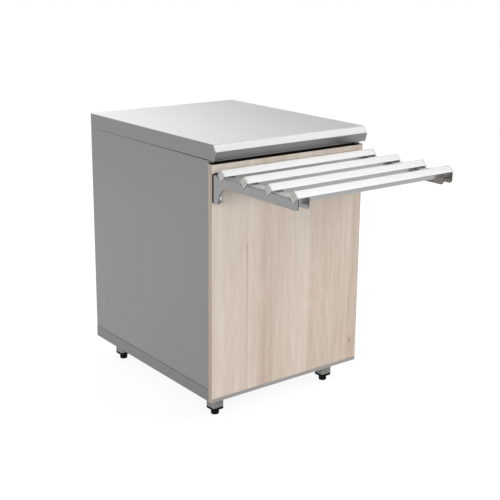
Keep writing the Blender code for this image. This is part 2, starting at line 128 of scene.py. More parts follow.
def removeFaces(piece, test):
    editFaces(piece, test)
    bpy.ops.mesh.delete(type="FACE")
    leaveEdit()


def cutFaces(piece, test, place, normal, trim=False):        # trim drops what lies beyond the cut
    editFaces(piece, test)
    bpy.ops.mesh.bisect(plane_co=place, plane_no=normal, use_fill=trim, clear_outer=trim)
    leaveEdit()


def roundEdges(piece, test, radius, steps):
    editEdges(piece, test)
    bpy.ops.mesh.bevel(offset=radius, segments=steps, affect="EDGES")
    leaveEdit()


def roundSharp(sharpness, radius, steps):        # edges of the active piece that turn more than some degrees
    startEdit("EDGE")
    bpy.ops.object.mode_set(mode="EDIT")
    bpy.ops.mesh.edges_select_sharp(sharpness=math.radians(sharpness))
    bpy.ops.mesh.bevel(offset=radius, segments=steps, affect="EDGES")
    leaveEdit()


def extrude(step):
    bpy.ops.mesh.extrude_region_move(TRANSFORM_OT_translate={"value": step})


def applyModifier(piece, kind, **settings):
    pick(piece)
    bpy.ops.object.modifier_add(type=kind)
    modifier = piece.modifiers[-1]
    for key, value in settings.items():
        setattr(modifier, key, value)
    bpy.ops.object.modifier_apply(modifier=modifier.name)


def cutAway(piece, cutter):
    applyModifier(piece, "BOOLEAN", operation="DIFFERENCE", object=cutter, solver="EXACT")
    bpy.data.objects.remove(cutter)


def softenEdges(piece, width, steps=2, sharpest=50):        # small round on every hard edge
    applyModifier(piece, "BEVEL", width=width, segments=steps, limit_method="ANGLE",
                  angle_limit=math.radians(sharpest))


def thicken(piece, sheet, inner=0, rim=0):        # inwards; slots to the inside's and rim's finish
    applyModifier(piece, "SOLIDIFY", thickness=sheet, offset=-1, use_even_offset=True,
                  use_quality_normals=True, material_offset=inner, material_offset_rim=rim)


def roundFolds(bend, steps=4):        # every edge but the open rim becomes a bend
    bpy.ops.object.mode_set(mode="EDIT")
    bpy.ops.mesh.select_mode(type="EDGE")
    bpy.ops.mesh.select_all(action="SELECT")
    bpy.ops.mesh.region_to_loop()
    bpy.ops.mesh.select_all(action="INVERT")
    bpy.ops.mesh.bevel(offset=bend, segments=steps, affect="EDGES")
    leaveEdit()


def wallName(normal):        # such as -X for a face that looks left
    along = max(range(3), key=lambda index: abs(normal[index]))
    return ("+" if normal[along] > 0 else "-") + "XYZ"[along]


def foldSheet(name, low, high, walls, sheet, bend, rim=0.0004, lining=None):        # some walls of a box
    piece = addBox(name, low, high)
    removeFaces(piece, lambda centre, normal: wallName(normal) not in walls.split())
    roundFolds(bend)
    if lining:        # the inside has a finish of its own
        piece.data.materials.append(lining)
        piece.data.materials.append(lining)
    thicken(piece, sheet, inner=1 if lining else 0)
    softenEdges(piece, rim)
    return piece


def dress(piece, material, body, slotName, *replaced):        # shading, finish, and the nodes it stands for
    pick(piece)
    bpy.ops.object.shade_smooth_by_angle(angle=smoothAngle)
    applyModifier(piece, "WEIGHTED_NORMAL", keep_sharp=True)
    if not piece.data.materials:
        piece.data.materials.append(material)
    piece.data.materials[0] = material
    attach(piece, body)
    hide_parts(*replaced)


# Finishes

def startMaterial(name, colour, roughness=0.5, metallic=0.0):
    material = bpy.data.materials.new(name)
    material.use_nodes = True
    shader = material.node_tree.nodes["Principled BSDF"]
    shader.inputs["Base Color"].default_value = (*colour, 1)
    shader.inputs["Roughness"].default_value = roughness
    shader.inputs["Metallic"].default_value = metallic
    return material, material.node_tree, shader


def coordinates(tree, scale=(1, 1, 1), place=(0, 0, 0)):
    source = tree.nodes.new("ShaderNodeTexCoord")
    mapping = tree.nodes.new("ShaderNodeMapping")
    mapping.inputs["Location"].default_value = place
    mapping.inputs["Scale"].default_value = scale
    tree.links.new(source.outputs["Object"], mapping.inputs["Vector"])
    return mapping.outputs["Vector"]


def noise(tree, vector, detail, distortion=0.0):
    texture = tree.nodes.new("ShaderNodeTexNoise")
    texture.inputs["Scale"].default_value = 1
    texture.inputs["Detail"].default_value = detail
    texture.inputs["Distortion"].default_value = distortion
    tree.links.new(vector, texture.inputs["Vector"])
    return texture.outputs["Fac"]


def evenNoise(tree, perMetre, detail):
    return noise(tree, coordinates(tree, (perMetre, perMetre, perMetre)), detail)


def spread(tree, value, low, high, fromLow=0.3, fromHigh=0.7):        # a noise's middle range to a new range
    node = tree.nodes.new("ShaderNodeMapRange")
    node.inputs["From Min"].default_value = fromLow
    node.inputs["From Max"].default_value = fromHigh
    node.inputs["To Min"].default_value = low
    node.inputs["To Max"].default_value = high
    tree.links.new(value, node.inputs["Value"])
    return node.outputs["Result"]


def sums(tree, operation, first, second):        # each input a socket or a number
    node = tree.nodes.new("ShaderNodeMath")
    node.operation = operation
    for slotIndex, value in enumerate((first, second)):
        if isinstance(value, (int, float)):
            node.inputs[slotIndex].default_value = value
        else:
            tree.links.new(value, node.inputs[slotIndex])
    return node.outputs["Value"]


def colourRamp(tree, value, stops):
    ramp = tree.nodes.new("ShaderNodeValToRGB")
    elements = ramp.color_ramp.elements
    elements[0].position, elements[0].color = stops[0][0], (*stops[0][1], 1)
    elements[1].position, elements[1].color = stops[-1][0], (*stops[-1][1], 1)
    for place, colour in stops[1:-1]:
        elements.new(place).color = (*colour, 1)
    tree.links.new(value, ramp.inputs["Fac"])
    return ramp.outputs["Color"]


def addBump(tree, shader, height, strength, depth):
    node = tree.nodes.new("ShaderNodeBump")
    node.inputs["Strength"].default_value = strength
    node.inputs["Distance"].default_value = depth
    tree.links.new(height, node.inputs["Height"])
    tree.links.new(node.outputs["Normal"], shader.inputs["Normal"])


def varyColour(tree, shader, value, colour, tones, ends=(0.3, 0.7)):        # darkest and lightest share
    stops = [(end, tuple(part * tone for part in colour)) for end, tone in zip(ends, tones)]
    tree.links.new(colourRamp(tree, value, stops), shader.inputs["Base Color"])


def varyRoughness(tree, shader, value, low, high):
    tree.links.new(spread(tree, value, low, high), shader.inputs["Roughness"])


steelLook = {
    "colour": (0.266, 0.266, 0.266),
    "metallic": 0.95,
    "roughness": (0.30, 0.40),
    "lines": 900,           # brush lines per metre, across the grain
    "stretch": 260,         # how much longer than wide a line is
    "bands": 0.09,          # broad bands for each line
    "clouds": 2.2,          # per metre
    "shares": (0.45, 0.3, 0.25),        # of lines, bands and clouds in the tone
    "ends": (0.36, 0.64),   # tones that get the darkest and the lightest colour
    "contrast": 0.035,
    "relief": (0.05, 0.0002),           # strength and depth
}


def brushedSteel(name, grain, look):
    material, tree, shader = startMaterial(name, look["colour"], metallic=look["metallic"])
    across = [look["lines"]] * 3
    across["XYZ".index(grain)] = look["lines"] / look["stretch"]
    fine = noise(tree, coordinates(tree, across), detail=4)
    bands = noise(tree, coordinates(tree, [part * look["bands"] for part in across]), detail=2)
    cloud = evenNoise(tree, look["clouds"], detail=3)
    layers = zip((fine, bands, cloud), look["shares"])
    weighed = [sums(tree, "MULTIPLY", layer, share) for layer, share in layers]
    tone = sums(tree, "ADD", weighed[0], sums(tree, "ADD", weighed[1], weighed[2]))
    varyColour(tree, shader, tone, look["colour"], (1 - look["contrast"], 1 + look["contrast"]), look["ends"])
    varyRoughness(tree, shader, tone, *look["roughness"])
    addBump(tree, shader, fine, *look["relief"])
    return material


def greySteel(name, grain, grey, **changes):
    return brushedSteel(name, grain, dict(steelLook, colour=(grey, grey, grey), **changes))


paintLook = {"peel": 520, "clouds": 5, "tones": (0.93, 1.05), "below": 0.05, "above": 0.06,
             "relief": (0.12, 0.0002)}        # peel and clouds per metre, range of the roughness


def paintedSteel(name, colour, roughness):        # fine orange peel under a satin coat
    material, tree, shader = startMaterial(name, colour)
    peel = evenNoise(tree, paintLook["peel"], detail=2)
    cloud = evenNoise(tree, paintLook["clouds"], detail=4)
    varyColour(tree, shader, cloud, colour, paintLook["tones"])
    varyRoughness(tree, shader, cloud, roughness - paintLook["below"], roughness + paintLook["above"])
    addBump(tree, shader, peel, *paintLook["relief"])
    return material


plasticLook = {"clouds": 30, "tones": (0.9, 1.1), "below": 0.06, "above": 0.08, "relief": (0.15, 0.0002)}


def mouldedPlastic(name, colour, roughness, grain=1400, gloss=0.5):        # fine spark-eroded grain
    material, tree, shader = startMaterial(name, colour)
    shader.inputs["Specular IOR Level"].default_value = gloss
    grainNoise = evenNoise(tree, grain, detail=2)
    cloud = evenNoise(tree, plasticLook["clouds"], detail=3)
    varyColour(tree, shader, cloud, colour, plasticLook["tones"])
    varyRoughness(tree, shader, grainNoise, roughness - plasticLook["below"],
                  roughness + plasticLook["above"])
    addBump(tree, shader, grainNoise, *plasticLook["relief"])
    return material


zincLook = {"colour": (0.72, 0.72, 0.73), "metallic": 0.9, "mottle": 240, "tones": (0.85, 1.1),
            "roughness": (0.26, 0.42)}


def platedSteel(name, look):        # zinc with a faint mottle
    material, tree, shader = startMaterial(name, look["colour"], metallic=look["metallic"])
    mottle = evenNoise(tree, look["mottle"], detail=4)
    varyColour(tree, shader, mottle, look["colour"], look["tones"])
    varyRoughness(tree, shader, mottle, *look["roughness"])
    return material


boardLook = {"colour": (0.42, 0.30, 0.19), "chips": (420, 160, 420), "tones": (0.6, 1.35), "ends": (0.1, 0.9),
             "roughness": 0.85, "relief": (0.3, 0.0004)}


def rawBoard(name, look):        # pressed chips of many tones
    material, tree, shader = startMaterial(name, look["colour"], look["roughness"])
    chips = tree.nodes.new("ShaderNodeTexVoronoi")
    chips.inputs["Scale"].default_value = 1
    tree.links.new(coordinates(tree, look["chips"]), chips.inputs["Vector"])
    tone = tree.nodes.new("ShaderNodeRGBToBW")
    tree.links.new(chips.outputs["Color"], tone.inputs["Color"])
    varyColour(tree, shader, tone.outputs["Val"], look["colour"], look["tones"], look["ends"])
    addBump(tree, shader, chips.outputs["Distance"], *look["relief"])
    return material


ashLook = {
    "width": 0.6,        # of the panel that the planks fill
    "colours": [(0.0, (0.70, 0.625, 0.548)), (0.5, (0.625, 0.530, 0.450)), (1.0, (0.50, 0.395, 0.32)),
                (1.5, (0.34, 0.255, 0.195))],        # a tone and its colour, from pale wood to a knot
    "roughness": (0.42, 0.55),
    "planks": [(-0.300, 0.24), (-0.2565, 0.20), (-0.2555, 0.34), (-0.180, 0.36), (-0.1620, 0.56),
               (-0.1610, 0.16), (-0.130, 0.40), (-0.104, 0.70), (-0.0825, 0.58), (-0.0815, 0.64),
               (-0.045, 0.56), (-0.010, 0.48), (0.030, 0.34), (0.0815, 0.30), (0.0825, 0.54),
               (0.150, 0.62), (0.205, 0.58), (0.2395, 0.62), (0.2405, 0.54), (0.2585, 0.56),
               (0.2595, 0.74), (0.300, 0.78)],        # place across the panel, tone
    "drift": ((9, 9, 1.3), 0.0012),        # planks run a little crooked: waves per metre, how far
    "paintedShadeByHeight": (0.13, -0.15, 0.10, 0.80),        # painted shade and light: tone added low and high on the panel, darker towards its bottom and lighter towards its top, and those heights
    "grain": [((50, 50, 2.0), 4, 0.5, 0.13), ((420, 420, 12), 3, 0.2, 0.17),
              ((1500, 1500, 50), 2, 0.0, 0.165)],        # bands, lines, pores: size, detail, waver, depth
    "rings": ((8, 8, 0.8), 0.6, 75, 0.07),        # arches: how wide, waver, how many, depth
    "marks": [((-0.169, 0.540), (0.0050, 0.026), 0.62), ((-0.166, 0.505), (0.0040, 0.030), 0.46),
              ((-0.1635, 0.440), (0.0026, 0.120), 0.40), ((-0.098, 0.250), (0.0120, 0.330), 0.18),
              ((0.204, 0.487), (0.0030, 0.013), 0.60), ((0.271, 0.137), (0.0055, 0.010), 0.80),
              ((0.271, 0.130), (0.0130, 0.042), 0.26)],        # place, half width and height, depth
    "markEdge": (0.4, 0.2, 1.1),        # how ragged, and where a mark starts to fade and is gone
    "relief": (0.6, 0.10, 0.0002),        # share of the lines beside the pores, strength, depth
}


def ashLaminate(name, look):
    material, tree, shader = startMaterial(name, look["colours"][0][1])
    waves, sway = look["drift"]
    drift = noise(tree, coordinates(tree, waves), detail=2)
    axes = tree.nodes.new("ShaderNodeSeparateXYZ")
    tree.links.new(coordinates(tree), axes.inputs["Vector"])
    across = sums(tree, "ADD", axes.outputs["X"], spread(tree, drift, -sway, sway))
    place = sums(tree, "MULTIPLY_ADD", across, 1 / look["width"])
    place.node.inputs[2].default_value = 0.5        # x runs from the panel's middle
    planks = [(x / look["width"] + 0.5, (grey, grey, grey)) for x, grey in look["planks"]]
    tone = colourRamp(tree, place, planks)
    # painted shade: the laminate darkens towards the panel's bottom and lightens towards its top
    tone = sums(tree, "ADD", tone, spread(tree, axes.outputs["Z"], *look["paintedShadeByHeight"]))
    grain = []
    for scale, detail, waver, depth in look["grain"]:
        grain.append(noise(tree, coordinates(tree, scale), detail, waver))
        tone = sums(tree, "ADD", tone, spread(tree, grain[-1], -depth, depth))
    lines, pores = grain[1:]
    scale, waver, count, depth = look["rings"]
    arches = sums(tree, "MULTIPLY", noise(tree, coordinates(tree, scale), 2, waver), count)
    tone = sums(tree, "ADD", tone, spread(tree, sums(tree, "SINE", arches, 0), -depth, depth, -1, 1))
    ragged, fading, gone = look["markEdge"]
    for (x, z), (halfWidth, halfHeight), depth in look["marks"]:        # knots and darker strokes
        vector = coordinates(tree, (1 / halfWidth, 0, 1 / halfHeight), (-x / halfWidth, 0, -z / halfHeight))
        reach = tree.nodes.new("ShaderNodeVectorMath")
        reach.operation = "LENGTH"
        tree.links.new(vector, reach.inputs[0])
        edge = sums(tree, "ADD", reach.outputs["Value"], spread(tree, lines, -ragged, ragged))
        tone = sums(tree, "ADD", tone, spread(tree, edge, depth, 0.0, fading, gone))
    deepest = look["colours"][-1][0]
    stops = [(level / deepest, colour) for level, colour in look["colours"]]
    colours = colourRamp(tree, sums(tree, "MULTIPLY", tone, 1 / deepest), stops)
    tree.links.new(colours, shader.inputs["Base Color"])
    varyRoughness(tree, shader, pores, *look["roughness"])
    lineShare, strength, depth = look["relief"]
    addBump(tree, shader, sums(tree, "ADD", pores, sums(tree, "MULTIPLY", lines, lineShare)), strength, depth)
    return material


edgeLook = {"colour": (0.45, 0.36, 0.285), "streaks": (300, 300, 3), "tones": (0.8, 1.18), "roughness": 0.5,
            "relief": (0.1, 0.0002)}


def bandedEdge(name, look):        # printed edge band, streaked along its length
    material, tree, shader = startMaterial(name, look["colour"], look["roughness"])
    streaks = noise(tree, coordinates(tree, look["streaks"]), detail=4)
    varyColour(tree, shader, streaks, look["colour"], look["tones"])
    addBump(tree, shader, streaks, *look["relief"])
    return material


steelAlongX = brushedSteel("steelBrushedAlongCounter", "X", steelLook)
steelAlongZ = brushedSteel("steelBrushedUpright", "Z", steelLook)
bracketSteel = greySteel("steelBracket", "Y", 0.31, roughness=(0.18, 0.25))
# painted shade: a darker, duller copy of the bracket steel for the faces that look up
paintedShadeWebSteel = greySteel("steelWebPaintedShade", "Y", 0.27, metallic=0.5, roughness=(0.46, 0.56))
# dark oxidised cut edges of the bracket plate, partly painted shade that stands in for the shade on the
# plate's edges
cutEdgeShadeSteel = greySteel("steelCutEdgeShade", "X", 0.07, roughness=(0.5, 0.6))
millSteel = greySteel("steelMill", "X", 0.60, metallic=0.6, roughness=(0.44, 0.54))
tubeSteel = greySteel("steelTube", "X", 0.365, roughness=(0.27, 0.35))
trimLook = dict(steelLook, colour=(0.345, 0.335, 0.325), contrast=0.04)
trimAluminium = brushedSteel("trimAluminium", "X", trimLook)
greyPaint = paintedSteel("greyPaint", (0.196, 0.196, 0.196), 0.45)
# black primer on the hidden front rail, partly painted shade: it stands in for the deep shade in the gap
# under the worktop
shadeGapBlackPaint = paintedSteel("shadeGapBlackPaint", (0.005, 0.005, 0.005), 0.7)
legPaint = paintedSteel("legPaint", (0.21, 0.21, 0.205), 0.5)
zinc = platedSteel("zincPlate", zincLook)
ash = ashLaminate("ashLaminate", ashLook)
ashEdge = bandedEdge("ashEdgeBand", edgeLook)
board = rawBoard("rawBoard", boardLook)
blackPlastic = mouldedPlastic("blackPlastic", (0.003, 0.003, 0.003), 0.6, gloss=0.08)
greyPlastic = mouldedPlastic("greyPlastic", (0.455, 0.455, 0.45), 0.5)
rubber = mouldedPlastic("blackRubber", (0.007, 0.006, 0.006), 0.8, grain=700, gloss=0.2)
print("finishes ready")


# Cabinet

worktop = {
    "sheet": 0.0015,
    "bend": 0.0021,
    "noseDrop": 0.022,            # nose below the top face
    "noseTopSetback": 0.013,      # top facet's upper edge behind the nose
    "noseFootSetback": 0.007,     # lower edge behind the nose
    "footRound": 0.0055,
    "lip": 0.030,                 # turned in under the nose
    "sharpest": 28,               # degrees, edges that turn more are bends
    "rim": 0.0004,
}


def buildWorktop():
    low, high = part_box("worktop")
    piece = addBox("worktopSheet", low, high)
    nose = (0, low.y, high.z - worktop["noseDrop"])
    topFacet = (0, -worktop["noseDrop"], worktop["noseTopSetback"])
    undercut = (0, low.z - nose[2], -worktop["noseFootSetback"])
    for outwards in (topFacet, undercut):
        cutFaces(piece, everyFace, nose, outwards, trim=True)
    footY = low.y + worktop["noseFootSetback"]
    roundEdges(piece, lambda first, second: max(first.z, second.z) < low.z + tiny
               and max(first.y, second.y) < footY + tiny, worktop["footRound"], steps=5)
    lipY = footY + worktop["lip"]
    cutFaces(piece, lambda centre, normal: normal.z < -facing, (0, lipY, 0), (0, 1, 0))
    removeFaces(piece, lambda centre, normal: normal.z < -facing and centre.y > lipY)        # behind the lip
    roundSharp(worktop["sharpest"], worktop["bend"], steps=4)
    thicken(piece, worktop["sheet"])
    softenEdges(piece, worktop["rim"])
    dress(piece, steelAlongX, "counter", "stainless", "worktop")
    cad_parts["worktop_core"].data.materials[0] = board


cabinet = {
    "side": (0.0012, 0.002),        # sheet and bend
    "base": (0.0015, 0.0022),
    "rail": (0.002, 0.003),
    "shelf": (0.0012, 0.002),
    "deckSetback": 0.0025,          # leaves a dark seam along the sides
    "deckRim": 0.0004,
}


def buildCabinet():
    for side, sign in sides.items():
        wall = "-X" if sign < 0 else "+X"
        panel = foldSheet("sidePanel_" + side, *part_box("side_panel_" + side), wall + " -Y +Y -Z +Z",
                          *cabinet["side"], lining=millSteel)
        dress(panel, steelAlongZ, "counter", "stainless", "side_panel_" + side)
        rail = foldSheet("baseRail_" + side, *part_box("base_rail_" + side), wall + " +Z",
                         *cabinet["base"])
        dress(rail, greyPaint, "counter", "painted_steel", "base_rail_" + side)
        ledge = foldSheet("shelfLedge_" + side, *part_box("shelf_ledge_" + side), wall + " +Z",
                          *cabinet["base"])
        dress(ledge, millSteel, "counter", "stainless", "shelf_ledge_" + side)
    for end, wall in (("front", "-Y"), ("rear", "+Y")):
        rail = foldSheet("baseRail_" + end, *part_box("base_rail_" + end), wall + " +Z",
                         *cabinet["base"])
        dress(rail, greyPaint, "counter", "painted_steel", "base_rail_" + end)
        beam = foldSheet("legBeam_" + end, *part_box("leg_beam_" + end), "-Y +Y +Z", *cabinet["rail"])
        dress(beam, greyPaint, "counter", "painted_steel", "leg_beam_" + end)
    frontRail = foldSheet("frontRail", *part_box("front_rail"), "-Y -Z +Z", *cabinet["rail"])
    dress(frontRail, shadeGapBlackPaint, "counter", "black_steel", "front_rail")
    rearRail = foldSheet("topRailRear", *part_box("top_rail_rear"), "+Y -Z +Z", *cabinet["rail"])
    dress(rearRail, greyPaint, "counter", "painted_steel", "top_rail_rear")
    shelf = foldSheet("middleShelf", *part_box("middle_shelf"), "-X +X -Y +Y +Z", *cabinet["shelf"])
    dress(shelf, millSteel, "shelf", "stainless", "middle_shelf")
    low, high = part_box("bottom_deck")
    inset = Vector((cabinet["deckSetback"], 0, 0))
    deck = addBox("bottomDeck", low + inset, high - inset)
    softenEdges(deck, cabinet["deckRim"])
    dress(deck, millSteel, "counter", "stainless", "bottom_deck")


frontPanel = {
    "boardRim": 0.0003,
    "bandRim": 0.0004,
    "trim": (0.001, 0.0016, 0.0003),        # sheet, bend and rim
}


def buildFrontPanel():
    face = addBox("frontPanel", *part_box("front_panel"))
    softenEdges(face, frontPanel["boardRim"])
    dress(face, ash, "counter", "ash_laminate", "front_panel")
    # the top band in black plastic is painted shade: it makes the gap under the worktop look black
    for edge, finish, slotName in (("left", ashEdge, "ash_edge"), ("right", ashEdge, "ash_edge"),
                                   ("top", blackPlastic, "black_plastic")):
        band = addBox("panelEdge_" + edge, *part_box("panel_edge_" + edge))
        softenEdges(band, frontPanel["bandRim"], steps=3)
        dress(band, finish, "counter", slotName, "panel_edge_" + edge)
    trim = foldSheet("panelBottomTrim", *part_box("panel_bottom_trim"), "-Y -Z", *frontPanel["trim"])
    dress(trim, trimAluminium, "counter", "aluminium", "panel_bottom_trim")


buildWorktop()
buildCabinet()
buildFrontPanel()
print("cabinet built")


# Legs and levelling feet

leg = {
    "tubeWall": 0.002,
    "tubeRound": 0.004,
    "tubeRim": 0.0003,
    "rimGap": 0.0003,           # between the plug's rim and the tube on it
    "plugFlange": 0.0078,
    "plugInset": 0.0023,
    "plugSpigot": 0.0192,
    "plugRim": 0.0006,
    "hole": 0.0054,
    "cutterPast": 0.01,         # how far the drill reaches past the plug
}


def cornerEdge(first, second):        # an upright edge
    return (first.xy - second.xy).length < tiny


def buildLeg(corner):
    low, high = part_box("leg_" + corner)
    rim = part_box("leg_plug_" + corner)[0].z + leg["plugFlange"] + leg["rimGap"]
    tube = addBox("legTube_" + corner, (low.x, low.y, rim), high)
    removeFaces(tube, lambda centre, normal: abs(normal.z) > facing)
    roundEdges(tube, cornerEdge, leg["tubeRound"], steps=5)
    thicken(tube, leg["tubeWall"])
    softenEdges(tube, leg["tubeRim"])
    dress(tube, legPaint, "counter", "painted_steel", "leg_" + corner)

    low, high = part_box("leg_plug_" + corner)
    top = low.z + leg["plugFlange"]
    plug = addBox("legPlug_" + corner, low, (high.x, high.y, top))
    roundEdges(plug, cornerEdge, leg["tubeRound"], steps=5)
    editFaces(plug, lambda centre, normal: normal.z > facing)
    bpy.ops.mesh.inset(thickness=leg["plugInset"])
    extrude((0, 0, leg["plugSpigot"]))
    leaveEdit()
    middle = (low + high) / 2
    cutAway(plug, addRod("plugHole", (middle.x, middle.y, low.z - leg["cutterPast"]),
                         (middle.x, middle.y, high.z + leg["cutterPast"]), leg["hole"], rodSides=32))
    softenEdges(plug, leg["plugRim"], steps=3)
    dress(plug, blackPlastic, "counter", "black_plastic", "leg_plug_" + corner)


def drawOutline(name, points):        # one vertex, extruded from point to point
    clearSelection()
    bpy.ops.mesh.primitive_plane_add(size=1, location=points[0])
    piece = nameIt(name)
    bpy.ops.object.mode_set(mode="EDIT")
    bpy.ops.mesh.select_mode(type="VERT")
    bpy.ops.mesh.select_all(action="SELECT")
    bpy.ops.mesh.merge(type="CENTER")
    for before, after in zip(points, points[1:]):
        extrude(Vector(after) - Vector(before))
    return piece


def turnProfile(name, profile, axis, steps):        # (radius, height) points spun about an upright axis
    piece = drawOutline(name, [(axis.x + radius, axis.y, height) for radius, height in profile])
    bpy.ops.mesh.select_all(action="SELECT")
    bpy.ops.mesh.spin(steps=steps, angle=2 * math.pi, center=(axis.x, axis.y, 0), axis=(0, 0, 1))
    bpy.ops.mesh.select_all(action="SELECT")
    bpy.ops.mesh.remove_doubles(threshold=tiny)
    bpy.ops.mesh.normals_make_consistent(inside=False)
    leaveEdit()
    return piece


foot = {
    "shoulder": 0.0012,
    "groove": 0.0006,
    "grooveHeight": 0.4,        # share of the pad's height
    "toe": [(0, 0.0022), (0.0006, 0.0008), (0.0020, 0)],        # how far in and up, round the lower edge
    "socket": 0.0053,
    "socketDepth": 0.010,
    "rim": 0.0003,
    "threadPitch": 0.0015,
    "threadDepth": 0.0008,
    "crest": (0.44, 0.56),      # shares of the pitch
    "threadMerge": 0.00002,
}


def buildFoot(corner):
    low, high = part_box("foot_pad_" + corner)
    axis = (low + high) / 2
    radius = (high.x - low.x) / 2
    seat = high.z - foot["socketDepth"]
    grooveZ = low.z + foot["grooveHeight"] * (high.z - low.z)
    groove = foot["groove"]
    pad = turnProfile("footPad_" + corner, [
        (0, seat), (foot["socket"], seat), (foot["socket"], high.z), (radius - foot["shoulder"], high.z),
        (radius, high.z - foot["shoulder"]), (radius, grooveZ + groove), (radius - groove, grooveZ),
        (radius, grooveZ - groove), *[(radius - inset, low.z + height) for inset, height in foot["toe"]],
        (0, low.z)], axis, steps=48)
    softenEdges(pad, foot["rim"])
    dress(pad, blackPlastic, "foot_" + corner, "black_plastic", "foot_pad_" + corner)

    low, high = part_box("foot_spindle_" + corner)
    radius = (high.x - low.x) / 2
    pitch = foot["threadPitch"]
    valley = radius - foot["threadDepth"]
    turns = int((high.z - low.z) / pitch) + 2        # one more at each end, trimmed off below
    start = low.z - pitch
    crestLow, crestHigh = [start + share * pitch for share in foot["crest"]]
    thread = drawOutline("footSpindle_" + corner, [(valley, 0, start + pitch), (radius, 0, crestHigh),
                                                   (radius, 0, crestLow), (valley, 0, start)])
    leaveEdit()
    applyModifier(thread, "SCREW", axis="Z", screw_offset=pitch, iterations=turns, steps=20, render_steps=20,
                  use_merge_vertices=True, merge_threshold=foot["threadMerge"], use_normal_calculate=True)
    for height, outwards in ((low.z, (0, 0, -1)), (high.z, (0, 0, 1))):
        cutFaces(thread, everyFace, (0, 0, height), outwards, trim=True)
    thread.location = (axis.x, axis.y, 0)
    pick(thread)
    bpy.ops.object.transform_apply(location=True)
    dress(thread, zinc, "foot_" + corner, "zinc_steel", "foot_spindle_" + corner)


for corner in corners:
    buildLeg(corner)
    buildFoot(corner)
print("legs and feet built")


# Tray slide

trayRail = {
    "side": 0.025,
    "wall": 0.0015,
    "round": 0.0018,
    "rim": 0.0003,
    "capFlange": 0.002,
    "capInset": 0.0019,
    "capPlug": 0.012,
    "capRim": 0.0005,
}


def addTubeBlank(name, low, high, middle):        # a square bar set on edge, its long corners rounded
    half = trayRail["side"] / 2
    piece = addBox(name, (low, middle.y - half, middle.z - half), (high, middle.y + half, middle.z + half))
    editFaces(piece, everyFace)
    bpy.ops.transform.rotate(value=math.pi / 4, orient_axis="X", center_override=middle)
    leaveEdit()
    roundEdges(piece, lambda first, second: abs(first.x - second.x) > tiny, trayRail["round"], steps=4)
    return piece


def buildTrayRail(number):
    low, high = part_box("tray_rail_%d" % number)
    middle = (low + high) / 2
    tube = addTubeBlank("trayRail_%d" % number, low.x, high.x, middle)
    removeFaces(tube, lambda centre, normal: abs(normal.x) > facing)
    thicken(tube, trayRail["wall"])
    softenEdges(tube, trayRail["rim"])
    dress(tube, tubeSteel, "counter", "stainless", "tray_rail_%d" % number)
    for side, sign in sides.items():
        node = "rail_cap_%d_%s" % (number, side)
        low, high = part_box(node)
        outer = low.x if sign < 0 else high.x
        inner = outer - sign * trayRail["capFlange"]
        cap = addTubeBlank("railCap_%d_%s" % (number, side), min(outer, inner), max(outer, inner), middle)
        editFaces(cap, lambda centre, normal: normal.x * sign < -facing)
        bpy.ops.mesh.inset(thickness=trayRail["capInset"])
        extrude((-sign * trayRail["capPlug"], 0, 0))
        leaveEdit()
        softenEdges(cap, trayRail["capRim"], steps=3)
        dress(cap, greyPlastic, "counter", "grey_plastic", node)


trayBracket = {
    "plate": 0.003,
    "bend": 0.0045,
    "sharpest": 60,             # degrees, edges that turn more are bends
    "rim": 0.0005,
    "armHeight": 0.031,
    "tipRound": 0.010,
    "wallLegDepth": 0.0275,
    "gussetRound": 0.045,
    "tongue": 0.034,            # width of the back below the arm
    "notchRun": 0.024,          # from a rail's middle to the notch's rear lip
    "notchLipRound": 0.018,
    "railGap": 0.0003,
    "webSlot": 0.005,           # in front of each rail
    "paintedShadeUpward": 0.05,          # faces that look up more than this are webs and their bends, and get a darker, duller steel as painted shade
    "padRound": 0.006,
    "padRim": 0.0007,
}


def cornerReach(before, here, after, radius):        # distance from a corner to where its round starts
    angle = (Vector(before) - Vector(here)).angle(Vector(after) - Vector(here))
    return radius / math.tan(angle / 2)


def cheekOutline(low, high, armZ):        # corners (y, z) from the wall leg's foot, each with its round
    legY = high.y - trayBracket["wallLegDepth"]
    outline = [((high.y, low.z), 0), ((high.y, high.z), 0)]
    for number in railNumbers:
        railLow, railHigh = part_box("tray_rail_%d" % number)
        railY = (railLow.y + railHigh.y) / 2
        floorZ = railLow.z - trayBracket["railGap"] * math.sqrt(2)
        outline += [((railY + trayBracket["notchRun"], high.z), trayBracket["notchLipRound"]),
                    ((railY, floorZ), 0), ((railY - (high.z - floorZ), high.z), 0)]
    outline += [((low.y, high.z), 0), ((low.y, armZ), trayBracket["tipRound"]),
                ((legY, armZ), trayBracket["gussetRound"]), ((legY, low.z), 0)]
    return outline


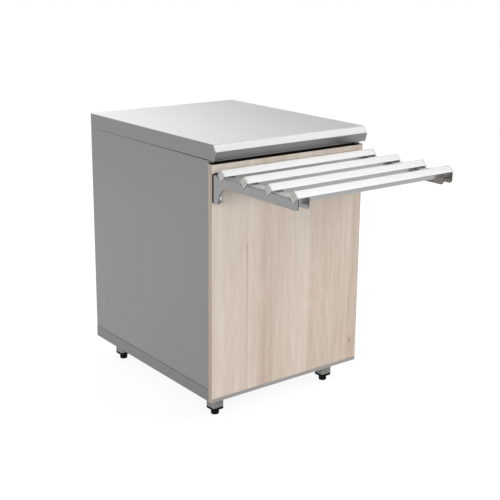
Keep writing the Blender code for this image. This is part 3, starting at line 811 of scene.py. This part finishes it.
def buildBracket(side, sign):
    node = "tray_bracket_" + side
    low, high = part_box(node)
    outerX = low.x if sign < 0 else high.x
    innerX = high.x if sign < 0 else low.x
    tongueX = outerX - sign * trayBracket["tongue"]
    armZ = high.z - trayBracket["armHeight"]
    outline = cheekOutline(low, high, armZ)
    points = [point for point, radius in outline]
    bracket = drawOutline("trayBracket_" + side, [(outerX, y, z) for y, z in points])
    bpy.ops.mesh.select_all(action="SELECT")
    bpy.ops.mesh.edge_face_add()
    leaveEdit()
    for index, (point, radius) in enumerate(outline):
        if radius == 0:
            continue
        reach = cornerReach(points[index - 1], point, points[index + 1], radius)
        editPoints(bracket, lambda place: (place.yz - Vector(point)).length < tiny)
        bpy.ops.mesh.bevel(offset=reach, segments=8, affect="VERTICES")
        leaveEdit()
    editFaces(bracket, everyFace)
    extrude((innerX - outerX, 0, 0))
    bpy.ops.mesh.select_all(action="SELECT")
    bpy.ops.mesh.normals_make_consistent(inside=False)
    leaveEdit()

    webs = []
    for number in railNumbers[:-1]:        # a web on top, from the next rail to a slot in front of this one
        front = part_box("tray_rail_%d" % (number + 1))[1].y
        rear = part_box("tray_rail_%d" % number)[0].y - trayBracket["webSlot"]
        webs.append((front, rear))
        cutFaces(bracket, lambda centre, normal: normal.z > facing, (0, rear, 0), (0, 1, 0))

    def cutOut(centre, normal):        # all but two cheeks, the back and the webs
        onWeb = normal.z > facing and any(front < centre.y < rear for front, rear in webs)
        return abs(normal.x) < facing and centre.y < high.y - tiny and not onWeb

    removeFaces(bracket, cutOut)
    cutFaces(bracket, lambda centre, normal: normal.y > facing or normal.x * sign < -facing,
             (0, 0, armZ), (0, 0, 1))
    cutFaces(bracket, lambda centre, normal: normal.y > facing and centre.z < armZ,
             (tongueX, 0, 0), (1, 0, 0))
    removeFaces(bracket, lambda centre, normal: centre.z < armZ
                and (centre.x - tongueX) * sign < 0)        # below the arm stay the outer cheek and a tongue
    roundSharp(trayBracket["sharpest"], trayBracket["bend"], steps=5)
    for finish in (bracketSteel, cutEdgeShadeSteel, paintedShadeWebSteel, cutEdgeShadeSteel):        # cheeks, then webs in a darker, duller steel of painted shade; each with its rim of dark cut edge, partly painted shade
        bracket.data.materials.append(finish)
    for face in bracket.data.polygons:
        # faces that look up take the painted-shade web steel
        face.material_index = 2 if face.normal.z > trayBracket["paintedShadeUpward"] else 0
    thicken(bracket, trayBracket["plate"], rim=1)
    softenEdges(bracket, trayBracket["rim"], steps=3)
    dress(bracket, bracketSteel, "counter", "stainless", node)

    low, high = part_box("bracket_pad_" + side)
    pad = addBox("bracketPad_" + side, low, high)
    roundEdges(pad, lambda first, second: abs(first.y - second.y) > tiny, trayBracket["padRound"], steps=6)
    softenEdges(pad, trayBracket["padRim"], steps=3)
    dress(pad, rubber, "counter", "rubber", "bracket_pad_" + side)


bolt = {
    "headHeight": 0.0033,
    "crown": 0.0017,
    "shank": 0.003,
    "socket": 0.0023,
    "socketDepth": 0.0019,
    "cutterPast": 0.001,        # how far the cutter starts in front of the head
    "rim": 0.0002,
}


def buildBolt(name):
    low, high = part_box("bracket_bolt_" + name)
    middle = (low + high) / 2
    headRadius = (high.x - low.x) / 2
    headY = low.y + bolt["headHeight"]
    piece = addRod("bracketBolt_" + name, (middle.x, headY, middle.z), (middle.x, low.y, middle.z),
                   headRadius, rodSides=32)
    editFaces(piece, lambda centre, normal: normal.y > facing)
    bpy.ops.mesh.inset(thickness=headRadius - bolt["shank"])
    extrude((0, high.y - headY, 0))
    leaveEdit()
    roundEdges(piece, lambda first, second: max(first.y, second.y) < low.y + tiny, bolt["crown"], steps=5)
    cutAway(piece, addRod("boltSocket", (middle.x, low.y - bolt["cutterPast"], middle.z),
                          (middle.x, low.y + bolt["socketDepth"], middle.z), bolt["socket"], rodSides=6))
    softenEdges(piece, bolt["rim"])
    dress(piece, zinc, "counter", "zinc_steel", "bracket_bolt_" + name)


for number in railNumbers:
    buildTrayRail(number)
for side, sign in sides.items():
    buildBracket(side, sign)
    for level in ("low", "high"):
        buildBolt(side + "_" + level)
print("tray slide built")


# Floor, light and camera

studio = {
    "floorSize": 60,
    "floorColour": (0.95, 0.95, 0.95),
    "floorBounce": (0.28, 0.28, 0.28),        # what the floor gives back to the counter
    "floorRoughness": 0.9,
    "floorGloss": 0.1,
    "floorWhite": 0.85,        # how much of the floor's look is the plain backdrop
    "floorBright": 1.05,        # of that backdrop as seen, so that the floor has no horizon
    "roomTowards": (0.6, -0.8, 0.0),        # the room's bright side
    "roomFade": (-0.6, 0.6),        # from its dark to its bright side
    "roomDark": 0.22,
    "roomBright": 0.40,
    "backdrop": 1,
    "sunDistance": 5,
    "suns": {        # strength, width in degrees, where it comes from
        "softKey": (1.42, 40, (0.6, -0.49, 0.632)),
        "softFront": (1.8, 30, (-0.86, -0.43, 0.27)),
        "lowFill": (0.75, 16, (-0.25, -0.96, 0.13)),
    },
    "boxes": {        # power, size, roll, place, aim
        "rearSoftbox": (78, (4.6, 2.3), -24, (0.88, 2.55, 2.31), (0.0, 0.2, 0.87)),
        "sideSoftbox": (20, (3.0, 2.6), 0, (-1.66, 2.37, 2.28), (-0.3, -0.35, 0.78)),
        "topSoftbox": (19, (1.6, 2.0), 0, (1.9, 0.6, 3.0), (0.0, 0.0, 0.87)),
    },
}


def buildFloor():
    clearSelection()
    bpy.ops.mesh.primitive_plane_add(size=studio["floorSize"], location=(0, 0, 0))
    floor = nameIt("studioFloor")
    material, tree, shader = startMaterial("studioFloor", studio["floorColour"], studio["floorRoughness"])
    shader.inputs["Specular IOR Level"].default_value = studio["floorGloss"]
    seen = tree.nodes.new("ShaderNodeLightPath")
    plain = tree.nodes.new("ShaderNodeEmission")
    blend = tree.nodes.new("ShaderNodeMixShader")
    view = sums(tree, "MAXIMUM", seen.outputs["Is Camera Ray"], seen.outputs["Is Glossy Ray"])
    tree.links.new(colourRamp(tree, view, [(0.0, studio["floorBounce"]), (1.0, studio["floorColour"])]),
                   shader.inputs["Base Color"])
    tree.links.new(spread(tree, seen.outputs["Is Camera Ray"], 1.0, studio["floorBright"], 0.0, 1.0),
                   plain.inputs["Strength"])
    tree.links.new(sums(tree, "MULTIPLY", view, studio["floorWhite"]), blend.inputs["Fac"])
    tree.links.new(shader.outputs["BSDF"], blend.inputs[1])
    tree.links.new(plain.outputs["Emission"], blend.inputs[2])
    tree.links.new(blend.outputs["Shader"], tree.nodes["Material Output"].inputs["Surface"])
    floor.data.materials.append(material)


def addLight(name, kind, place, energy, towards):        # shines away from where towards points
    bpy.ops.object.light_add(type=kind, location=place)
    light = bpy.context.object
    light.name = name
    light.data.energy = energy
    light.rotation_euler = Vector(towards).to_track_quat("Z", "Y").to_euler()
    return light


def buildLights():
    for name, (strength, width, comesFrom) in studio["suns"].items():
        sun = addLight(name, "SUN", Vector(comesFrom) * studio["sunDistance"], strength, comesFrom)
        sun.data.angle = math.radians(width)
    for name, (power, size, roll, place, aim) in studio["boxes"].items():
        box = addLight(name, "AREA", place, power, Vector(place) - Vector(aim))
        box.rotation_euler.rotate_axis("Z", math.radians(roll))
        box.data.shape = "RECTANGLE"
        box.data.size, box.data.size_y = size
        box.visible_camera = False


def buildRoom():        # soft room light, and a white backdrop for the camera
    world = bpy.data.worlds.new("studioWorld")
    bpy.context.scene.world = world
    world.use_nodes = True
    tree = world.node_tree
    room = tree.nodes["Background"]
    room.inputs["Color"].default_value = (1, 1, 1, 1)
    towards = tree.nodes.new("ShaderNodeVectorMath")
    towards.operation = "DOT_PRODUCT"
    towards.inputs[1].default_value = studio["roomTowards"]
    source = tree.nodes.new("ShaderNodeTexCoord")
    tree.links.new(source.outputs["Generated"], towards.inputs[0])
    strength = spread(tree, towards.outputs["Value"], studio["roomDark"], studio["roomBright"],
                      *studio["roomFade"])
    tree.links.new(strength, room.inputs["Strength"])
    backdrop = tree.nodes.new("ShaderNodeBackground")
    backdrop.inputs["Color"].default_value = (1, 1, 1, 1)
    backdrop.inputs["Strength"].default_value = studio["backdrop"]
    path = tree.nodes.new("ShaderNodeLightPath")
    mix = tree.nodes.new("ShaderNodeMixShader")
    tree.links.new(path.outputs["Is Camera Ray"], mix.inputs["Fac"])
    tree.links.new(room.outputs["Background"], mix.inputs[1])
    tree.links.new(backdrop.outputs["Background"], mix.inputs[2])
    tree.links.new(mix.outputs["Shader"], tree.nodes["World Output"].inputs["Surface"])
    bpy.context.scene.view_settings.view_transform = "Standard"


photoView = {"lens": 72.72, "sensor": 36, "place": (-1.955, -2.5062, 1.398), "yaw": 37.50, "pitch": 14.98,
             "roll": 0.56, "shiftUp": -0.05}


def buildCamera():
    bpy.ops.object.camera_add(location=photoView["place"])
    camera = bpy.context.object
    camera.name = "photoCamera"
    camera.rotation_euler = (math.radians(90 - photoView["pitch"]), 0, math.radians(-photoView["yaw"]))
    camera.rotation_euler.rotate_axis("Z", math.radians(photoView["roll"]))
    camera.data.lens = photoView["lens"]
    camera.data.sensor_width = photoView["sensor"]
    camera.data.shift_y = photoView["shiftUp"]
    bpy.context.scene.camera = camera


buildFloor()
buildLights()
buildRoom()
buildCamera()
print("studio ready")
